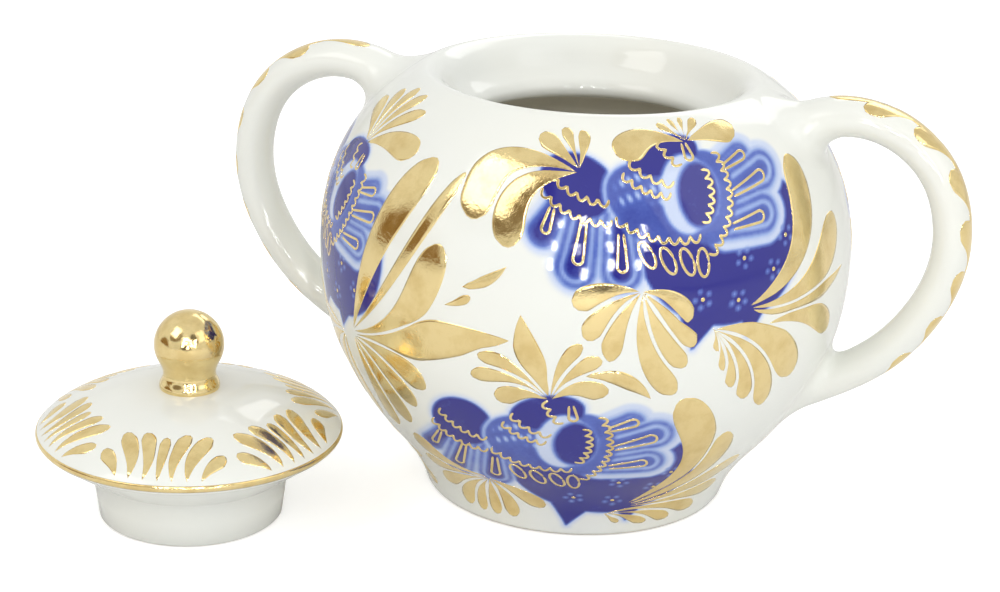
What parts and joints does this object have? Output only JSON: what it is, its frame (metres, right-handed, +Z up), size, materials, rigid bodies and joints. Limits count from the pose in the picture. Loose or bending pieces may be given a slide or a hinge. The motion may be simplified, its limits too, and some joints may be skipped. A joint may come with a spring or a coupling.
{
  "type": "lidded sugar bowl",
  "caption": "Round porcelain sugar bowl with two ear handles, a dished mouth and a lift-off domed lid with a ball knob, painted in cobalt and gold.",
  "frame": {"origin": "centre of the bowl's foot ring, on the surface it stands on", "axes": "+Z up, +X through both handles towards handle_right, +Y towards the far side of the bowl; the lid stands on its collar at low X, low Y"},
  "size_m": [0.1779, 0.1342, 0.0897],
  "materials": {
    "porcelain_glaze": "glossy warm-white glaze",
    "cobalt_underglaze": "cobalt painting under a glossy glaze",
    "bright_gold": "polished overglaze gold on porcelain"
  },
  "bodies": {
    "bowl": {"bowl_body": "porcelain_glaze", "handle_left": "porcelain_glaze", "handle_right": "porcelain_glaze"},
    "lid": {"lid_shell": "porcelain_glaze", "lid_knob": "bright_gold"}
  },
  "joints": [
    {"name": "lid_lift", "type": "slide", "parent": "bowl", "child": "lid", "axis": [-0.2111, -0.1498, 0.9659], "range_m": [0, 0.12]}
  ]
}
